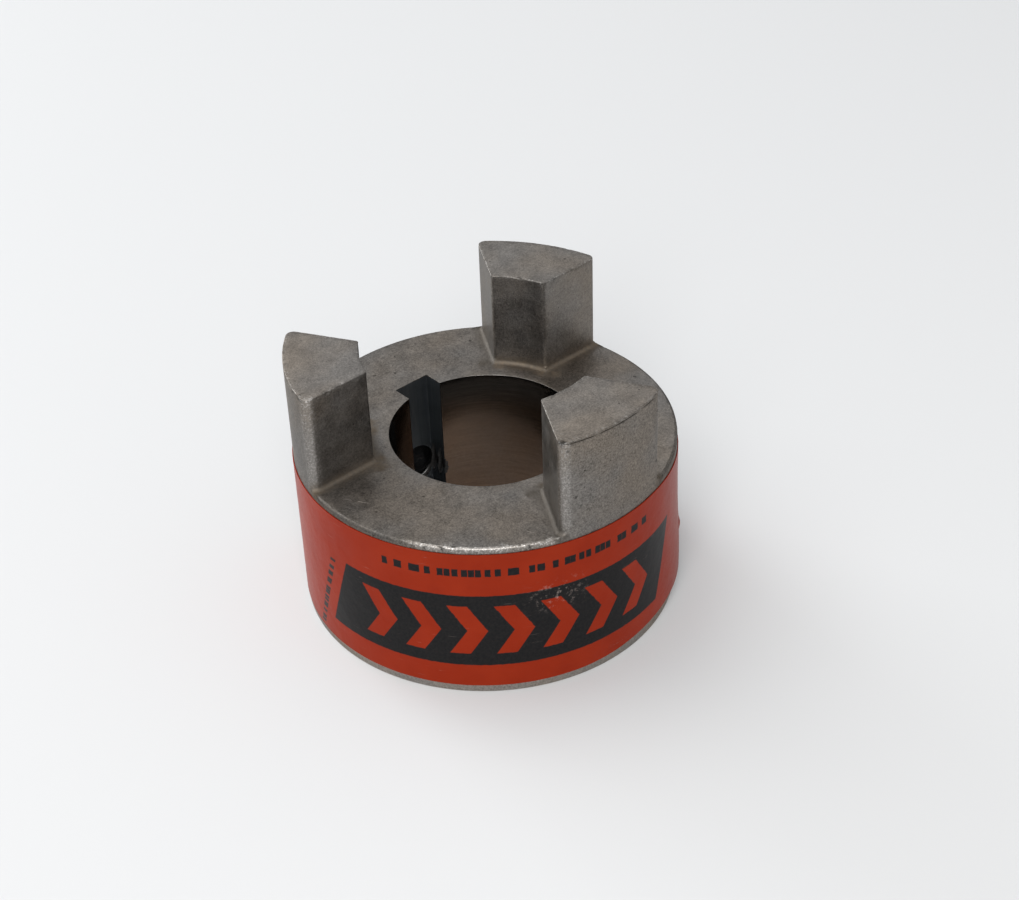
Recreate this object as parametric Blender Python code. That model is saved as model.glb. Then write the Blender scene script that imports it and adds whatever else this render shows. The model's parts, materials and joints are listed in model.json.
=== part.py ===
"""Three-jaw coupling hub with its set screw and its wrap-round label.

Metres. The origin is on the bore axis, in the plane of the hub's plain end. +Z runs along the bore
towards the jaws, and +Y runs through the keyway and the set screw.
"""

import math

import bmesh
import bpy
from mathutils import Matrix, Vector

# Hub body, a turned ring
HUB_RADIUS = 0.022225
BODY_LENGTH = 0.0206
BORE_RADIUS = 0.0111125
BORE_CHAMFER = 0.0002
END_CHAMFER = 0.0003

# Keyway, cut along the whole bore on its +Y side
KEYWAY_WIDTH = 0.0047625
KEYWAY_FLOOR = 0.01338

# Jaws. The sides of each jaw run parallel to the spider leg beside it, half a leg away from the
# leg's centre line, and the legs point 30 degrees to either side of the jaw.
JAW_ANGLES = (30, 150, 270)
JAW_HEIGHT = 0.0122
JAW_INNER_RADIUS = 0.01376
SPIDER_LEG_WIDTH = 0.00775
LEG_FROM_JAW = 30
JAW_CORNER_RADIUS = 0.0009
JAW_ROOT_FILLET = 0.0005

# Set screw, 1/4-20 by 1/4 inch, and its hole
SCREW_HEIGHT = 0.0085
SCREW_HOLE_RADIUS = 0.003175
SCREW_GAP = 0.0003
SCREW_LENGTH = 0.00635
SCREW_TIP_AT = 0.014
SCREW_END_CHAMFER = 0.0005
CUP_RADIUS = 0.0016
CUP_DEPTH = 0.0007
SOCKET_ACROSS_FLATS = 0.003175
SOCKET_DEPTH = 0.0026

# Label, a strip that leaves the back of the hub bare round the set screw
LABEL_GAP = 0.0001
LABEL_THICKNESS = 0.00015
LABEL_BOTTOM = 0.0008
LABEL_HEIGHT = 0.01905
LABEL_MIDDLE = -126
LABEL_HALF_ANGLE = 111

# Smoothness of round shapes
ROUND_STEPS = 120
SCREW_STEPS = 48
CORNER_STEPS = 5
FILLET_STEPS = 4
SMOOTH_ANGLE = math.radians(35)
CUT_MARGIN = 0.002


def clear_scene():
    for obj in list(bpy.data.objects):
        bpy.data.objects.remove(obj, do_unlink=True)


def material(name, color, roughness, metallic):
    made = bpy.data.materials.new(name)
    made.use_nodes = True
    shader = made.node_tree.nodes["Principled BSDF"]
    shader.inputs["Base Color"].default_value = (*color, 1.0)
    shader.inputs["Roughness"].default_value = roughness
    shader.inputs["Metallic"].default_value = metallic
    return made


def polar(radius, degrees):
    angle = math.radians(degrees)
    return Vector((radius * math.cos(angle), radius * math.sin(angle)))


def mesh_object(name, shape, finish=None):
    """Turns a bmesh into a linked object with outward faces and smooth round stretches."""
    bmesh.ops.recalc_face_normals(shape, faces=shape.faces)
    mesh = bpy.data.meshes.new(name)
    shape.to_mesh(mesh)
    shape.free()
    mesh.shade_smooth()
    mesh.set_sharp_from_angle(angle=SMOOTH_ANGLE)
    obj = bpy.data.objects.new(name, mesh)
    bpy.context.collection.objects.link(obj)
    if finish:
        mesh.materials.append(finish)
    return obj


def loft(outlines):
    """Closed solid through (outline, z) levels whose outlines have the same number of points."""
    shape = bmesh.new()
    rings = [[shape.verts.new((p.x, p.y, z)) for p in outline] for outline, z in outlines]
    count = len(rings[0])
    for low, high in zip(rings, rings[1:]):
        for i in range(count):
            j = (i + 1) % count
            shape.faces.new((low[i], low[j], high[j], high[i]))
    shape.faces.new(list(reversed(rings[0])))
    shape.faces.new(rings[-1])
    return shape


def turned_ring(profile, steps):
    """Ring turned about Z from a closed profile of (radius, z) points."""
    shape = bmesh.new()
    rings = []
    for step in range(steps):
        spots = [(*polar(radius, 360 * step / steps), z) for radius, z in profile]
        rings.append([shape.verts.new(spot) for spot in spots])
    for ring, after in zip(rings, rings[1:] + rings[:1]):
        for i in range(len(profile)):
            j = (i + 1) % len(profile)
            shape.faces.new((ring[i], ring[j], after[j], after[i]))
    return shape


def circle(radius, steps):
    return [polar(radius, 360 * step / steps) for step in range(steps)]


def make_cutter(name, shape):
    cutter = mesh_object(name, shape)
    cutter.hide_render = True
    cutter.display_type = "WIRE"
    return cutter


def cut(obj, cutter):
    boolean = obj.modifiers.new(cutter.name, "BOOLEAN")
    boolean.operation = "DIFFERENCE"
    boolean.solver = "EXACT"
    boolean.object = cutter


def jaw_side(jaw_angle, turn, grow):
    """Points up one side of a jaw, from its inner corner to its rounded outer corner.

    turn is 1 for the jaw's counter-clockwise side and -1 for the other. grow thickens the jaw.
    """
    leg_angle = jaw_angle + turn * LEG_FROM_JAW
    offset = SPIDER_LEG_WIDTH / 2 - grow
    inner_radius = JAW_INNER_RADIUS - grow
    inner_angle = leg_angle - turn * math.degrees(math.asin(offset / inner_radius))
    points = [polar(inner_radius, inner_angle)]

    # The corner's arc is tangent to the side and to the hub's outside.
    arc_offset = SPIDER_LEG_WIDTH / 2 + JAW_CORNER_RADIUS
    arc_distance = HUB_RADIUS - JAW_CORNER_RADIUS
    arc_angle = leg_angle - turn * math.degrees(math.asin(arc_offset / arc_distance))
    center = polar(arc_distance, arc_angle)
    first = leg_angle + turn * 90
    sweep = arc_angle - first
    for step in range(CORNER_STEPS + 1):
        points.append(center + polar(JAW_CORNER_RADIUS + grow, first + sweep * step / CORNER_STEPS))
    points.append(polar(HUB_RADIUS + CUT_MARGIN, arc_angle))
    return points


def clearance_outline(grow):
    """Outline of the empty space between the jaws, for jaws thickened by grow."""
    outline = []
    for jaw_angle in JAW_ANGLES:
        inward = list(reversed(jaw_side(jaw_angle, -1, grow)))
        outward = jaw_side(jaw_angle, 1, grow)
        middle = polar(JAW_INNER_RADIUS - grow, jaw_angle)
        arc = [middle.lerp(inward[-1], 0.5), middle, middle.lerp(outward[0], 0.5)]
        arc = [point.normalized() * (JAW_INNER_RADIUS - grow) for point in arc]
        between_jaws = polar(2 * HUB_RADIUS, jaw_angle + 60)
        outline += inward + arc + outward + [between_jaws]
    return outline


def make_jaw_clearance():
    levels = []
    for step in range(FILLET_STEPS + 1):
        turn = math.radians(90 * step / FILLET_STEPS)
        grow = JAW_ROOT_FILLET * (1 - math.sin(turn))
        levels.append((clearance_outline(grow), BODY_LENGTH + JAW_ROOT_FILLET * (1 - math.cos(turn))))
    levels.append((clearance_outline(0), BODY_LENGTH + JAW_HEIGHT + CUT_MARGIN))
    return make_cutter("jaw_clearance_cutter", loft(levels))


def make_keyway_cutter():
    half = KEYWAY_WIDTH / 2
    outline = [Vector((-half, 0)), Vector((half, 0)), Vector((half, KEYWAY_FLOOR))]
    outline.append(Vector((-half, KEYWAY_FLOOR)))
    top = BODY_LENGTH + JAW_HEIGHT + CUT_MARGIN
    return make_cutter("keyway_cutter", loft([(outline, -CUT_MARGIN), (outline, top)]))


def make_screw_hole_cutter():
    outline = circle(SCREW_HOLE_RADIUS, SCREW_STEPS)
    start = BORE_RADIUS - CUT_MARGIN
    shape = loft([(outline, start), (outline, HUB_RADIUS + CUT_MARGIN)])
    bmesh.ops.transform(shape, matrix=Matrix.Rotation(-math.pi / 2, 4, "X"), verts=shape.verts)
    bmesh.ops.translate(shape, vec=(0, 0, SCREW_HEIGHT), verts=shape.verts)
    return make_cutter("screw_hole_cutter", shape)


def make_hub():
    top = BODY_LENGTH + JAW_HEIGHT
    profile = [
        (BORE_RADIUS, BORE_CHAMFER),
        (BORE_RADIUS + BORE_CHAMFER, 0),
        (HUB_RADIUS - END_CHAMFER, 0),
        (HUB_RADIUS, END_CHAMFER),
        (HUB_RADIUS, top),
        (BORE_RADIUS, top),
    ]
    iron = material("sintered_iron", (0.20, 0.19, 0.175), 0.5, 0.85)
    hub = mesh_object("hub", turned_ring(profile, ROUND_STEPS), iron)
    cut(hub, make_jaw_clearance())
    cut(hub, make_keyway_cutter())
    cut(hub, make_screw_hole_cutter())
    return hub


def make_set_screw():
    """Headless screw with a cup point towards the bore and a hexagon socket at its outer end."""
    radius = SCREW_HOLE_RADIUS - SCREW_GAP
    profile = [
        (CUP_RADIUS, 0),
        (radius - SCREW_END_CHAMFER, 0),
        (radius, SCREW_END_CHAMFER),
        (radius, SCREW_LENGTH - SCREW_END_CHAMFER),
        (radius - SCREW_END_CHAMFER, SCREW_LENGTH),
    ]
    shape = loft([(circle(ring, SCREW_STEPS), z) for ring, z in profile])
    cup_rim = min(shape.faces, key=lambda face: face.calc_center_median().z)
    center = bmesh.ops.poke(shape, faces=[cup_rim])["verts"][0]
    center.co.z = CUP_DEPTH

    steel = material("blackened_steel", (0.045, 0.045, 0.05), 0.4, 0.8)
    screw = mesh_object("set_screw", shape, steel)
    corner_radius = SOCKET_ACROSS_FLATS / math.sqrt(3)
    outline = circle(corner_radius, 6)
    depths = (SCREW_LENGTH - SOCKET_DEPTH, SCREW_LENGTH + CUT_MARGIN)
    socket = make_cutter("socket_cutter", loft([(outline, z) for z in depths]))
    socket.parent = screw
    cut(screw, socket)
    screw.rotation_euler.x = -math.pi / 2
    screw.location = (0, SCREW_TIP_AT, SCREW_HEIGHT)
    return screw


def make_label():
    """Thin strip round the body. Its steps line up with the hub's, so the gap stays even."""
    step_angle = 360 / ROUND_STEPS
    count = round(2 * LABEL_HALF_ANGLE / step_angle)
    first = LABEL_MIDDLE - LABEL_HALF_ANGLE
    inside = HUB_RADIUS + LABEL_GAP
    outside = inside + LABEL_THICKNESS
    inner = [polar(inside, first + step_angle * step) for step in range(count + 1)]
    outer = [polar(outside, first + step_angle * step) for step in range(count + 1)]
    outline = inner + list(reversed(outer))
    shape = loft([(outline, LABEL_BOTTOM), (outline, LABEL_BOTTOM + LABEL_HEIGHT)])
    paper = material("orange_label", (0.52, 0.05, 0.012), 0.45, 0.0)
    return mesh_object("label", shape, paper)


def main():
    clear_scene()
    make_hub()
    make_set_screw()
    make_label()


main()
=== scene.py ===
"""Looks of the three-jaw coupling hub: sintered iron hub, threaded set screw and printed label.

Metres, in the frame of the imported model. The main sizes are read from that model.
"""

import json
import math

import bmesh
import bpy
from mathutils import Matrix, Vector, noise


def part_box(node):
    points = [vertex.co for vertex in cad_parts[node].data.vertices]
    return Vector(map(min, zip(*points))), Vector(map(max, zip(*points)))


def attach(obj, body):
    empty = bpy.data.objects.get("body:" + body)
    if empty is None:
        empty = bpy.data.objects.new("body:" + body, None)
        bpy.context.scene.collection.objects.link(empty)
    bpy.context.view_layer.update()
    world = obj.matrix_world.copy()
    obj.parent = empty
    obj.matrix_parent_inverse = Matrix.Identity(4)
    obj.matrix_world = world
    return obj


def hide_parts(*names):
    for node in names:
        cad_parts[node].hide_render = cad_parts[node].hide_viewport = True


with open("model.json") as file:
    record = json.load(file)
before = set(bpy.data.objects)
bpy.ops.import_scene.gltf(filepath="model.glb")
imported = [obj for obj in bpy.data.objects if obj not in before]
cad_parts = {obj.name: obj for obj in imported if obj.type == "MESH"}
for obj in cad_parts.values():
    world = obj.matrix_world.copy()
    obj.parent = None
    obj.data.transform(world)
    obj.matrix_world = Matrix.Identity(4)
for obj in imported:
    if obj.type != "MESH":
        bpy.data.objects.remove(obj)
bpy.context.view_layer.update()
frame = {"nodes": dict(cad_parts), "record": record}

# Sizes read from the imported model
MOUNTS = {mount["name"]: mount["pos_m"] for mount in frame["record"]["mounts"]}
HUB_LOW, HUB_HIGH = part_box("hub")
LABEL_LOW, LABEL_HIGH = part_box("label")
SCREW_LOW, SCREW_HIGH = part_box("set_screw")
TOP = HUB_HIGH.z
HUB_RADIUS = HUB_HIGH.x
BODY_LENGTH = MOUNTS["spider_seat_face"][2]
KEYWAY_HALF = MOUNTS["keyway_right_side"][0]
KEYWAY_FLOOR = MOUNTS["keyway_floor"][1]
LEG_HALF = MOUNTS["jaw_1_reverse_face"][1]
SCREW_HEIGHT = (SCREW_LOW.z + SCREW_HIGH.z) / 2
SCREW_TIP = SCREW_LOW.y
SCREW_END = SCREW_HIGH.y
hub_points = [vertex.co for vertex in frame["nodes"]["hub"].data.vertices]
BORE_RADIUS = min(math.hypot(p.x, p.y) for p in hub_points)
JAW_INNER_RADIUS = min(math.hypot(p.x, p.y) for p in hub_points if p.z > TOP - 1e-5)

# Hub details
JAW_ANGLES = (30, 150, 270)
LEG_FROM_JAW = 30
CORNER_RADIUS = 0.0009
ROOT_FILLET = 0.0005
CUT_MARGIN = 0.002

# How fine the hub's mesh is. FINE_STEP is the longest edge on its broken edges, COARSE_STEP elsewhere.
FILLET_STEPS = 6
CORNER_STEPS = 8
JAW_SIDE_STEPS = 18
INNER_ARC_STEPS = 18
JAW_ROWS = 28
BODY_ROWS = 24
RING_STEP = 1.0
FINE_STEP = 0.00022
COARSE_STEP = 0.0009
SPLIT_ROUNDS = 9
CUT_MERGE = 0.00006
MERGE = 0.000002

# The hub's material slots
SKIN, REAMED, THREAD, BROKEN = range(4)

# Broken edges: how wide each kind is, as a share of EDGE_BREAK. They reach less than EDGE_BAND.
# The rim's widens over RIM_FADE degrees from a jaw. An edge that turns SHARP_EDGE degrees is broken.
EDGE_BREAK = 0.00035
EDGE_STEPS = 3
EDGE_BAND = 0.0004
BORE_EDGE_SHARE = 0.08
TOP_EDGE_SHARE = 0.3
FOOT_EDGE_SHARE = 0.4
RIM_EDGE_SHARE = 0.9
RIM_LEAST_SHARE = 0.1
RIM_FADE = 5
SHARP_EDGE = 28

# Tolerances for telling where a vertex, edge or face lies
TOUCHING = 1e-5
NEARLY = 1e-4
ON_KEYWAY = 3e-5
ON_BORE = 4e-5

# Wear and painted highlights on broken edges: 0 is untouched and 1 is bright. Jaw tops and sides are
# worn; the rim's brightness around RIM_HIGHLIGHT_MIDDLE and the listed jaw corners are painted
# highlights. Jaw sides are named by jaw angle and direction of turn.
TOP_WEAR = 0.3
TOP_DULLNESS = 0.6
SIDE_WEAR = 0.1
RIM_HIGHLIGHT_MIDDLE = -128
RIM_HIGHLIGHT_HALF = 28
RIM_HIGHLIGHT_FADE = 8
RIM_LEAST_WEAR = 0.08
HIGHLIT_JAW_CORNERS = ((150, 1), (270, -1))
CORNER_HIGHLIGHT_WIDTH = 0.00008

# Painted shade at the jaws' feet and how far it reaches; painted brown bounce light there for each jaw,
# and the two sides where the brown is missing
ROOT_REACH = 0.0014
ROOT_BOUNCE_SHARES = {30: 0.9, 150: 0.75, 270: 0.3}
ROOT_HALF_ANGLE = 22
DARK_ROOTS = ((30, 1), (270, -1))
DARK_ROOT_BOUNCE = 0.05
INNER_HALF_ANGLE = 13.6

# Skin, in millimetres: depth of its waves, of nicks and of the seam under the jaws' rims, and the nick
# depth at which the painted shade in nicks and the seam is darkest
WAVE_DEPTH = 0.012
RIPPLE_DEPTH = 0.006
WEAR_DEPTH = 0.05
NICK_DEPTH = 0.35
SEAM_DEPTH = 0.12
DARKEST_NICK = 0.08

# 1/4-20 thread shared by the hole and the screw: the same helix, so they stay in mesh
PITCH = 0.00127
THREAD_MAJOR = 0.003175
THREAD_MINOR = 0.00246
THREAD_GAP = 0.00004
THREAD_STEPS = 48
ROWS_PER_TURN = 12
COUNTERSINK = 0.00035
HOLE_RIM = THREAD_MAJOR + COUNTERSINK
SOCKET_FLAT = 0.0015875
SOCKET_DEPTH = 0.0026
CUP_RADIUS = 0.0016
CUP_DEPTH = 0.0007
SCREW_CHAMFER = 0.0005
CHAMFER_SLOPE = 1.3
SCREW_EDGE_BREAK = 0.00003

# Label. Its foot rises and its head dips by a height, between two distances along from its middle.
# Bulge and bump: place as (along, height), how far it stands off, and half widths.
LABEL_MIDDLE = -126
LABEL_HALF_ANGLE = 111
LABEL_CORNER = 0.0012
LABEL_GAP = 0.00001
LABEL_THICKNESS = 0.0001
FOOT_ABOVE = 0.00025
FOOT_RISE = (0.0008, 0.008, 0.026)
HEAD_BELOW = 0.00005
HEAD_DIP = (0.001, 0.018, 0.034)
WRINKLE_RISE = 0.00003
RIPPLE_RISE = 0.000012
LABEL_BULGE = ((0.030, 0.003), 0.0004, (0.009, 0.007))
LABEL_BUMP = ((0.0306, 0.0077), 0.00025, (0.0005, 0.0005))
LABEL_ROWS = 30
LABEL_COLUMNS = 260
LABEL_CORNER_STEP = 15
LABEL_CORNER_ROWS = 6

# Print on the label, in millimetres along it from its middle and up from the plain end
INK_SOFTNESS = 0.05
PANEL_MIDDLE = 0.3
PANEL_HALF = 21.6
PANEL_LOW = 4.1
PANEL_HIGH = 14.1
PANEL_LEAN = 0.33
LEAN_FOOT = 8.3
CHEVRONS = 7
CHEVRON_STEP = 5.2
CHEVRON_SLOPE = 0.62
CHEVRON_SHIFT = 1.6
CHEVRON_FROM = 0.28
CHEVRON_TO = 0.72
CHEVRON_LOW = PANEL_LOW + 1.7
CHEVRON_HIGH = PANEL_HIGH - 1.5
LINE_FROM = -14.6
LINE_TO = 19.2
LINE_LOW = 16.8
LINE_HIGH = 17.8
STACK_FROM = -PANEL_HALF - 2.6
STACK_TO = -PANEL_HALF - 1.7
STACK_LOW = 1.6
STACK_HIGH = 13.4

# Bore: the side where a brown reflection is painted on the lower part of its wall
REFLECTION_SIDE = math.radians(50)

# Metals: how bright they turn where they are seen edge on
EDGE_TINT = (0.62, 0.62, 0.62, 1)

# Colours
IRON_GREY = (0.268, 0.25, 0.231, 1)
IRON_WARM = (0.288, 0.25, 0.211, 1)
IRON_CORNER_HIGHLIGHT = (0.42, 0.40, 0.38, 1)
IRON_RUBBED_AND_SHEEN = (0.39, 0.365, 0.34, 1)
IRON_WORN_AND_GLINT = (0.75, 0.72, 0.68, 1)
ROOT_SHADE = (0.09, 0.078, 0.064, 1)
ROOT_BOUNCE_BROWN = (0.22, 0.172, 0.123, 1)
BORE_GREY = (0.21, 0.195, 0.18, 1)
BORE_PAINTED_REFLECTION = (0.25, 0.168, 0.118, 1)
KEYWAY_DARK = (0.14, 0.155, 0.17, 1)
KEYWAY_LIGHT = (0.17, 0.185, 0.195, 1)
THREAD_DARK = (0.08, 0.08, 0.08, 1)
THREAD_LIGHT = (0.14, 0.135, 0.13, 1)
OXIDE_DARK = (0.014, 0.014, 0.016, 1)
OXIDE_LIGHT = (0.028, 0.028, 0.028, 1)
OXIDE_WORN = (0.16, 0.15, 0.14, 1)
ORANGE_DEEP = (0.228, 0.017, 0.0035, 1)
ORANGE_LIGHT = (0.257, 0.0215, 0.005, 1)
INK_DARK = (0.009, 0.009, 0.0095, 1)
INK_LIGHT = (0.014, 0.013, 0.013, 1)
SCUFFED = (0.55, 0.45, 0.4, 1)
FLOOR_DARK = (0.58, 0.58, 0.58, 1)
FLOOR_LIGHT = (0.6, 0.6, 0.595, 1)

# Camera
CAMERA_TARGET = Vector((0.00206, -0.00183, 0.0174))
CAMERA_DISTANCE = 0.22402
CAMERA_HEADING = 49.294
CAMERA_DIP = 35.896
CAMERA_ROLL = -2.189
CAMERA_LENS = 67.85

# Studio
FLOOR_HALF = 1.5
LIGHT_DISTANCE = 0.9
SKY_COLOR = (0.95, 0.97, 1, 1)
SKY_STRENGTH = 0.58


# ---------------------------------------------------------------- mesh helpers

def polar(radius, degrees):
    angle = math.radians(degrees)
    return Vector((radius * math.cos(angle), radius * math.sin(angle)))


def heading(x, y):
    """Angle round the bore, in degrees."""
    return math.degrees(math.atan2(y, x))


def turn_between(angle, other):
    """Degrees from other to angle, between -180 and 180."""
    return (angle - other + 180) % 360 - 180


def fade(start, end, value):
    """0 before start, 1 after end, smooth between them."""
    share = min(1.0, max(0.0, (value - start) / (end - start)))
    return share * share * (3 - 2 * share)


def spread(start, end, count):
    """Points that divide the line from start to end into count parts, both ends included."""
    return [start.lerp(end, i / count) for i in range(count + 1)]


def to_object(name, shape):
    bmesh.ops.recalc_face_normals(shape, faces=shape.faces)
    mesh = bpy.data.meshes.new(name)
    shape.to_mesh(mesh)
    shape.free()
    obj = bpy.data.objects.new(name, mesh)
    bpy.context.collection.objects.link(obj)
    return obj


def grid_solid(rings, low_cap=True):
    """Mesh through rings of points that have the same length. Each ring closes on itself."""
    shape = bmesh.new()
    made = [[shape.verts.new(point) for point in ring] for ring in rings]
    count = len(made[0])
    for low, high in zip(made, made[1:]):
        for i in range(count):
            j = (i + 1) % count
            shape.faces.new((low[i], low[j], high[j], high[i]))
    if low_cap:
        shape.faces.new(made[0])
    shape.faces.new(made[-1])
    return shape


def applied(obj):
    """Replaces obj's mesh with its evaluated one, modifiers included."""
    graph = bpy.context.evaluated_depsgraph_get()
    mesh = bpy.data.meshes.new_from_object(obj.evaluated_get(graph))
    obj.modifiers.clear()
    obj.data = mesh
    return obj


def cut(obj, cutter):
    boolean = obj.modifiers.new("cut", "BOOLEAN")
    boolean.operation = "DIFFERENCE"
    boolean.solver = "EXACT"
    boolean.object = cutter
    applied(obj)
    bpy.data.objects.remove(cutter, do_unlink=True)


def merged(obj, distance):
    shape = bmesh.new()
    shape.from_mesh(obj.data)
    bmesh.ops.remove_doubles(shape, verts=shape.verts, dist=distance)
    bmesh.ops.dissolve_degenerate(shape, edges=shape.edges, dist=distance / 2)
    shape.to_mesh(obj.data)
    shape.free()


# ------------------------------------------------------------------------ hub

CORNER_DISTANCE = HUB_RADIUS - CORNER_RADIUS
CORNER_HALF_ANGLE = LEG_FROM_JAW - math.degrees(
    math.asin((LEG_HALF + CORNER_RADIUS) / CORNER_DISTANCE))
SEAM_LOW = TOP - 0.00046
SEAM_HIGH = TOP - 0.00024
GAP_ANGLE = 120 - 2 * CORNER_HALF_ANGLE
FILLET_TURNS = [math.radians(90 * i / FILLET_STEPS) for i in range(FILLET_STEPS + 1)]
FILLET_LEVELS = [
    (ROOT_FILLET * (1 - math.sin(turn)), BODY_LENGTH + ROOT_FILLET * (1 - math.cos(turn)))
    for turn in FILLET_TURNS]
JAW_FOOT = FILLET_LEVELS[-1][1]
JAW_LEVELS = [JAW_FOOT + (SEAM_LOW - JAW_FOOT) * i / JAW_ROWS for i in range(1, JAW_ROWS)]
JAW_LEVELS += [SEAM_LOW, (SEAM_LOW + SEAM_HIGH) / 2, SEAM_HIGH]
BODY_LEVELS = [BODY_LENGTH * i / BODY_ROWS for i in range(1, BODY_ROWS)]


def section_angles(start, width):
    count = round(width / RING_STEP)
    return [start + width * i / count for i in range(count)]


def jaw_side(jaw_angle, turn, grow):
    """Points up one side of a jaw, inner corner to rounded outer corner and past the hub."""
    leg_angle = jaw_angle + turn * LEG_FROM_JAW
    inner_radius = JAW_INNER_RADIUS - grow
    inner_angle = leg_angle - turn * math.degrees(math.asin((LEG_HALF - grow) / inner_radius))
    end_angle = jaw_angle + turn * CORNER_HALF_ANGLE
    center = polar(CORNER_DISTANCE, end_angle)
    first = leg_angle + turn * 90
    arc = [center + polar(CORNER_RADIUS + grow, first + (end_angle - first) * i / CORNER_STEPS)
           for i in range(CORNER_STEPS + 1)]
    side = spread(polar(inner_radius, inner_angle), arc[0], JAW_SIDE_STEPS)
    return side[:-1] + arc + [polar(HUB_RADIUS + CUT_MARGIN, end_angle)]


def clearance_ring(grow, z):
    """Outline of the space between the jaws, for jaws thickened by grow."""
    outline = []
    for jaw_angle in JAW_ANGLES:
        inward = list(reversed(jaw_side(jaw_angle, -1, grow)))
        outward = jaw_side(jaw_angle, 1, grow)
        radius = JAW_INNER_RADIUS - grow
        half = turn_between(heading(outward[0].x, outward[0].y), jaw_angle)
        arc = [polar(radius, jaw_angle + half * (2 * i / INNER_ARC_STEPS - 1))
               for i in range(1, INNER_ARC_STEPS)]
        gap = [polar(HUB_RADIUS + CUT_MARGIN, angle)
               for angle in section_angles(jaw_angle + CORNER_HALF_ANGLE, GAP_ANGLE)[1:]]
        outline += inward + arc + outward + gap
    return [(point.x, point.y, z) for point in outline]


def jaw_clearance():
    """Cutter for the space between the jaws. Its floor is split at the jaws' inner corners."""
    rings = [clearance_ring(grow, z) for grow, z in FILLET_LEVELS]
    rings += [clearance_ring(0, z) for z in JAW_LEVELS + [TOP + CUT_MARGIN]]
    shape = grid_solid(rings, low_cap=False)
    shape.verts.ensure_lookup_table()
    floor = shape.verts[:len(rings[0])]
    block = len(floor) // len(JAW_ANGLES)
    first = len(jaw_side(0, 1, 0)) - 1
    corners = []
    for jaw in range(len(JAW_ANGLES)):
        corners += [jaw * block + first, jaw * block + first + INNER_ARC_STEPS]
    hub_side = [Vector((*floor[i].co.xy.normalized() * (BORE_RADIUS - CUT_MARGIN), BODY_LENGTH))
                for i in corners]
    center = [shape.verts.new(point) for point in hub_side]
    for k, start in enumerate(corners):
        after = (k + 1) % len(corners)
        end = corners[after] if after else corners[0] + len(floor)
        edge = [floor[i % len(floor)] for i in range(start, end + 1)]
        shape.faces.new(edge + [center[after], center[k]])
    shape.faces.new(center)
    return to_object("jaw_clearance", shape)


def keyway_cutter():
    corners = [Vector((-KEYWAY_HALF, 0)), Vector((KEYWAY_HALF, 0))]
    corners += [Vector((KEYWAY_HALF, KEYWAY_FLOOR)), Vector((-KEYWAY_HALF, KEYWAY_FLOOR))]
    heights = [-CUT_MARGIN] + BODY_LEVELS + [TOP + CUT_MARGIN]
    rings = [[(point.x, point.y, z) for point in corners] for z in heights]
    return to_object("keyway_cut", grid_solid(rings))


def ring_angles():
    """Angles of the turned ring's points, with one at the end of each jaw's rounded corner."""
    angles = []
    for jaw_angle in JAW_ANGLES:
        angles += section_angles(jaw_angle - CORNER_HALF_ANGLE, 2 * CORNER_HALF_ANGLE)
        angles += section_angles(jaw_angle + CORNER_HALF_ANGLE, GAP_ANGLE)
    return angles


def blank():
    """Turned ring as tall as the jaws."""
    body = [(HUB_RADIUS, z) for z in BODY_LEVELS]
    fillets = [(HUB_RADIUS, z) for grow, z in FILLET_LEVELS[1:]]
    jaws = [(HUB_RADIUS, z) for z in JAW_LEVELS]
    bore = [(BORE_RADIUS, z) for z in reversed(BODY_LEVELS)]
    profile = [(BORE_RADIUS, 0), (HUB_RADIUS, 0)] + body + fillets + jaws
    profile += [(HUB_RADIUS, TOP), (BORE_RADIUS, TOP)] + bore
    shape = bmesh.new()
    rings = []
    for angle in ring_angles():
        rings.append([shape.verts.new((*polar(radius, angle), z)) for radius, z in profile])
    for ring, after in zip(rings, rings[1:] + rings[:1]):
        for i in range(len(profile)):
            j = (i + 1) % len(profile)
            shape.faces.new((ring[i], ring[j], after[j], after[i]))
    return to_object("hub_body", shape)


def thread_radius(phase, gap):
    """Radius of the thread at a place in its pitch. The crest is at phase 0."""
    along = abs((phase + 0.5) % 1 - 0.5) * PITCH
    return max(THREAD_MINOR, THREAD_MAJOR - max(0, along - PITCH / 16) * math.sqrt(3)) + gap


def threaded_rod(name, start, end, gap, limit=None):
    """Threaded rod along Y at the screw's height. limit(y) caps its radius."""
    first = math.floor(start / PITCH) - 2
    turns = math.ceil(end / PITCH) + 2 - first
    shape = bmesh.new()
    columns = []
    for i in range(THREAD_STEPS):
        column = []
        for j in range(turns * ROWS_PER_TURN + 1):
            y = PITCH * (first + j / ROWS_PER_TURN + i / THREAD_STEPS)
            radius = thread_radius(j / ROWS_PER_TURN, gap)
            if limit:
                radius = min(radius, limit(y))
            turn = 2 * math.pi * i / THREAD_STEPS
            column.append(shape.verts.new(
                (radius * math.sin(turn), y, SCREW_HEIGHT + radius * math.cos(turn))))
        columns.append(column)
    for i in range(THREAD_STEPS):
        here, after = columns[i], columns[(i + 1) % THREAD_STEPS]
        shift = ROWS_PER_TURN if i == THREAD_STEPS - 1 else 0
        for j in range(len(here) - 1 - shift):
            shape.faces.new((here[j], here[j + 1], after[j + 1 + shift], after[j + shift]))
    for y, side in ((start, -1), (end, 1)):
        geometry = shape.verts[:] + shape.edges[:] + shape.faces[:]
        bmesh.ops.bisect_plane(shape, geom=geometry, dist=1e-7, plane_co=(0, y, 0),
                               plane_no=(0, side, 0), clear_outer=True)
    bmesh.ops.holes_fill(shape, edges=[e for e in shape.edges if e.is_boundary], sides=0)
    return to_object(name, shape)


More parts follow.
